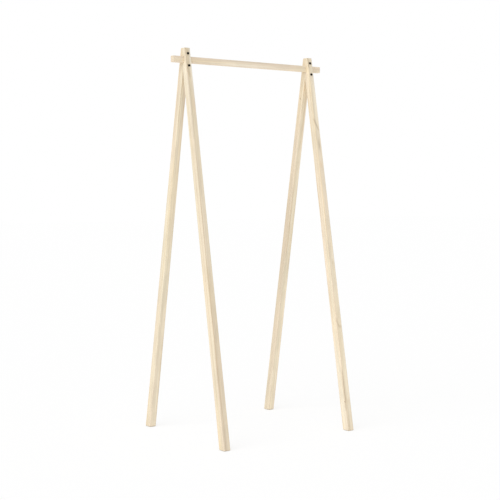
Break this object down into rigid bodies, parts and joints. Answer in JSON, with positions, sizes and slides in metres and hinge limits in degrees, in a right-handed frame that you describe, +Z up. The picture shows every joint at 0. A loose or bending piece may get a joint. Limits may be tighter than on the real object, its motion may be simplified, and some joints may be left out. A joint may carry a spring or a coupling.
{
  "type": "clothes rack",
  "caption": "Free-standing pine clothes rack: splayed A-frames whose plumb-sawn heads are bolted round a flat hanging rail that runs out past both sides.",
  "frame": {"origin": "on the floor, under the middle of the rail", "axes": "+X along the rail to the right as seen from the front, -Y towards the front, where the bolt heads show, +Z up"},
  "size_m": [0.862, 0.6728, 1.8],
  "materials": {
    "pine": "sanded and clear sealed, matt, pale sapwood with fine straight grain",
    "black_steel": "black oxide, satin",
    "zinc_steel": "zinc plated, hidden inside the heads"
  },
  "bodies": {
    "root": {"left_front_leg": "pine", "left_back_leg": "pine", "right_front_leg": "pine", "right_back_leg": "pine", "hanging_rail": "pine", "left_upper_bolt": "black_steel", "left_lower_bolt": "black_steel", "right_upper_bolt": "black_steel", "right_lower_bolt": "black_steel", "left_upper_insert": "zinc_steel", "left_lower_insert": "zinc_steel", "right_upper_insert": "zinc_steel", "right_lower_insert": "zinc_steel"}
  },
  "joints": []
}
